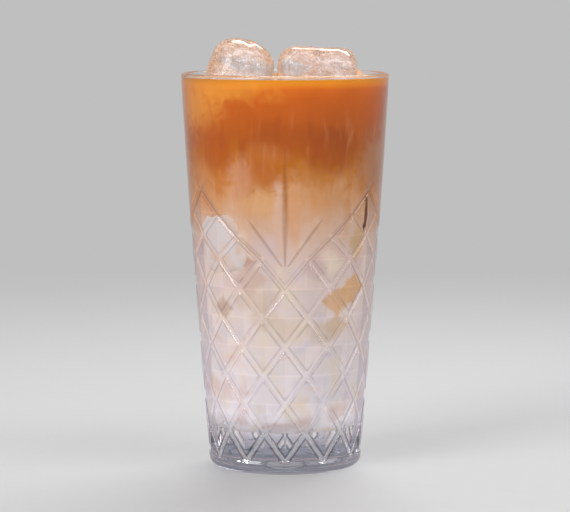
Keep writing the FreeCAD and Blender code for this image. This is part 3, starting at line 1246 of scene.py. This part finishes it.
# ---- the ice -----------------------------------------------------------------------
@dataclass
class IceCube:
    """A melted cube standing out of the drink, in millimetres and degrees."""

    name: str
    node: str
    sizes: tuple
    edge_r: float
    centre: tuple
    angles: tuple
    seed: int
    heart: float = 0.62
    skin_melt: Melt = Melt(6, 8, 3.0, ((9.0, 1.0), (3.5, 0.4)), 0.9)
    heart_melt: Melt = Melt(4, 8, 3.0, ((9.0, 1.0), (3.5, 0.4)), 1.6)

    def shell(self, level: float, melt: Melt, scale: float) -> bmesh.types.BMesh:
        """Block of the cube in its place.

        Args:
            level: height of the drink.
            melt: how it has melted.
            scale: its size against the cube's.

        Returns:
            The block, in metres.
        """
        x, y, z = self.centre
        place = Matrix.Translation(Vector((x, y, level + z)) * MM) @ turn_in_place(self.angles)
        seed = Vector((self.seed * 3.7, self.seed * 1.3, self.seed * 2.1))
        bm = melt.block(self.sizes, self.edge_r, scale, seed)
        bmesh.ops.transform(bm, matrix=place, verts=bm.verts)
        return bm

    def build(self, level: float, ice: bpy.types.Material,
              frost: bpy.types.Material) -> list:
        """Makes the clear cube and its cloudy heart.

        Args:
            level: height of the drink in millimetres.
            ice: the clear finish.
            frost: the cloudy finish.

        Returns:
            The pieces.
        """
        skin = self.shell(level, self.skin_melt, 1.0)
        heart = self.shell(level, self.heart_melt, self.heart)
        return [add_piece(self.name, skin, [ice], (self.node,)),
                add_piece(self.name + "_heart", heart, [frost])]


@dataclass
class SunkIce:
    """A cube below the surface, pressed against the wall, in millimetres and degrees."""

    name: str
    sizes: tuple
    edge_r: float
    degrees: float
    z: float
    angles: tuple
    seed: int
    inward: float = 6.0
    into_wall: float = 0.42
    melt: Melt = Melt(6, 12, 2.0, ((8.0, 1.0),), 1.2)

    def build(self, blank: Tumbler, finish: bpy.types.Material) -> bpy.types.Object:
        """Makes the cube.

        Args:
            blank: the glass that it lies in.
            finish: its material.

        Returns:
            The piece.
        """
        centre = polar(blank.bore(self.z) - self.inward, self.degrees, self.z) * MM
        yaw, pitch, roll = self.angles
        place = Matrix.Translation(centre) @ turn_in_place((self.degrees + yaw, pitch, roll))
        seed = Vector((self.seed * 5.1, self.seed * 2.3, self.seed * 1.7))
        bm = self.melt.block(self.sizes, self.edge_r, 1.0, seed)
        bmesh.ops.transform(bm, matrix=place, verts=bm.verts)
        for vert in bm.verts:
            x, y, z = vert.co / MM
            reach = blank.bore(z) + self.into_wall
            r = math.hypot(x, y)
            if r > reach:
                vert.co = Vector((x * reach / r, y * reach / r, z)) * MM
        if bm.calc_volume(signed=True) < 0:
            bmesh.ops.reverse_faces(bm, faces=bm.faces)
        return add_piece(self.name, bm, [finish])


# ---- the studio --------------------------------------------------------------------
@dataclass
class Lamp:
    """A soft box."""

    name: str
    place: tuple
    size: tuple
    watts: float
    aim: tuple = (0.0, 0.0, 0.08)
    colour: tuple = (1.0, 1.0, 1.0)

    def build(self) -> None:
        """Makes the lamp."""
        data = bpy.data.lights.new(self.name, "AREA")
        data.shape = "RECTANGLE"
        data.size, data.size_y = self.size
        data.energy = self.watts
        data.color = self.colour
        lamp = bpy.data.objects.new(self.name, data)
        lamp.location = self.place
        way = Vector(self.aim) - Vector(self.place)
        lamp.rotation_euler = way.to_track_quat("-Z", "Y").to_euler()
        bpy.context.scene.collection.objects.link(lamp)


@dataclass
class Studio:
    """Floor, world, lamps and camera, where looking rays see the plain background."""

    looking: tuple = ("Is Camera Ray", "Is Glossy Ray", "Is Transmission Ray")
    pale: tuple = (0.52, 0.52, 0.525)
    world_strength: float = 0.48
    camera_place: tuple = (0.0, -1.04, 0.1868)
    camera_tilt: float = 84.18
    lens: float = 171.0
    floor_r: float = 3.0
    lamps: tuple = (
        Lamp("key_left", (-0.9, -0.9, 0.75), (0.7, 0.9), 13.0),
        Lamp("fill_right", (1.1, -0.5, 0.45), (0.5, 0.9), 4.0),
        Lamp("top_back", (0.2, 0.7, 0.95), (0.8, 0.4), 8.0),
        Lamp("overhead", (0.35, -0.35, 1.05), (0.55, 0.30), 1.6),
    )

    def floor_material(self) -> bpy.types.Material:
        """Pale floor that fades to the plain background away from the glass."""
        material, n = new_material("pale_floor")
        coords = n.coords()
        away = n.add("ShaderNodeVectorMath", {0: coords}, operation="LENGTH").outputs[1]
        speck = n.noise(coords, 140.0, detail=3.0)
        colour = n.mix(n.remap(speck, 0.35, 0.65, 0.0, 0.04), self.pale, (0.4, 0.4, 0.4))
        matt = n.add("ShaderNodeBsdfPrincipled", {"Base Color": colour, "Roughness": 0.55,
                                                  "Specular IOR Level": 0.2})
        glow = n.add("ShaderNodeEmission", {0: (*self.pale, 1.0), 1: 1.0})
        fade = n.math("MULTIPLY", n.remap(away, 0.16, 0.75), n.rays(*self.looking))
        n.finish(n.add("ShaderNodeMixShader", {0: fade, 1: matt.outputs[0],
                                               2: glow.outputs[0]}))
        return material

    def build_floor(self) -> None:
        """Makes the floor."""
        bm = bmesh.new()
        bmesh.ops.create_circle(bm, cap_ends=True, radius=self.floor_r, segments=96)
        mesh = bpy.data.meshes.new("floor")
        bm.to_mesh(mesh)
        bm.free()
        mesh.materials.append(self.floor_material())
        floor = bpy.data.objects.new("floor", mesh)
        bpy.context.scene.collection.objects.link(floor)

    def build_world(self) -> None:
        """Makes the even light all round and the plain background."""
        world = bpy.data.worlds.new("studio")
        world.use_nodes = True
        n = Nodes(world.node_tree)
        light = n.add("ShaderNodeBackground", {0: (1, 1, 1, 1), 1: self.world_strength})
        plain = n.add("ShaderNodeBackground", {0: (*self.pale, 1.0), 1: 1.0})
        mixed = n.add("ShaderNodeMixShader", {0: n.rays(*self.looking), 1: light.outputs[0],
                                              2: plain.outputs[0]})
        n.add("ShaderNodeOutputWorld", {0: mixed.outputs[0]})
        bpy.context.scene.world = world

    def build_camera(self) -> None:
        """Makes the camera."""
        data = bpy.data.cameras.new("camera")
        data.lens = self.lens
        data.sensor_width = 36.0
        data.clip_end = 20.0
        camera = bpy.data.objects.new("camera", data)
        camera.location = self.camera_place
        camera.rotation_euler = (math.radians(self.camera_tilt), 0.0, 0.0)
        bpy.context.scene.collection.objects.link(camera)
        bpy.context.scene.camera = camera

    def build(self) -> None:
        """Makes the whole studio."""
        self.build_camera()
        self.build_world()
        self.build_floor()
        for lamp in self.lamps:
            lamp.build()
        scene = bpy.context.scene
        scene.view_settings.view_transform = "Standard"
        scene.cycles.max_bounces = 24
        scene.cycles.transmission_bounces = 20
        scene.cycles.transparent_max_bounces = 24


def main() -> None:
    """Builds the studio, the glass, the drink and the ice."""
    logging.basicConfig(level=logging.INFO, format="%(name)s: %(message)s")
    Studio().build()
    glass = CutGlass()
    pieces = [glass.build(GlassFinish())]
    drink = Drink(blank=glass.blank)
    pieces.append(drink.build(DrinkFinish(), DrinkTopFinish()))
    level = glass.blank.height - drink.fill_gap
    ice, frost = IceFinish().build(), FrostFinish().build()
    cubes = (
        IceCube("ice_lump", "ice_left", (25.0, 24.0, 28.0), 10.5, (-17.5, -8.0, 3.6),
                (14.0, 16.0, 4.0), 1, 0.78),
        IceCube("ice_slab", "ice_right", (30.5, 19.0, 20.0), 6.5, (12.3, -7.0, 4.4),
                (-4.0, 2.0, 4.0), 2, 0.80),
        IceCube("ice_chip", "ice_back", (21.0, 19.0, 22.0), 5.5, (18.6, 16.0, -3.2),
                (24.0, 12.0, 10.0), 3),
    )
    for cube in cubes:
        pieces += cube.build(level, ice, frost)
    sunk = SunkIce("sunk_ice_left", (23.0, 14.0, 27.5), 8.0, -46.0, 89.0, (0.0, -5.0, 0.0), 4, 5.4)
    pieces.append(sunk.build(glass.blank, SunkIceFinish().build()))
    for piece in pieces:
        log.info("%s: %d faces", piece.name, len(piece.data.polygons))


if __name__ == "__main__":
    main()
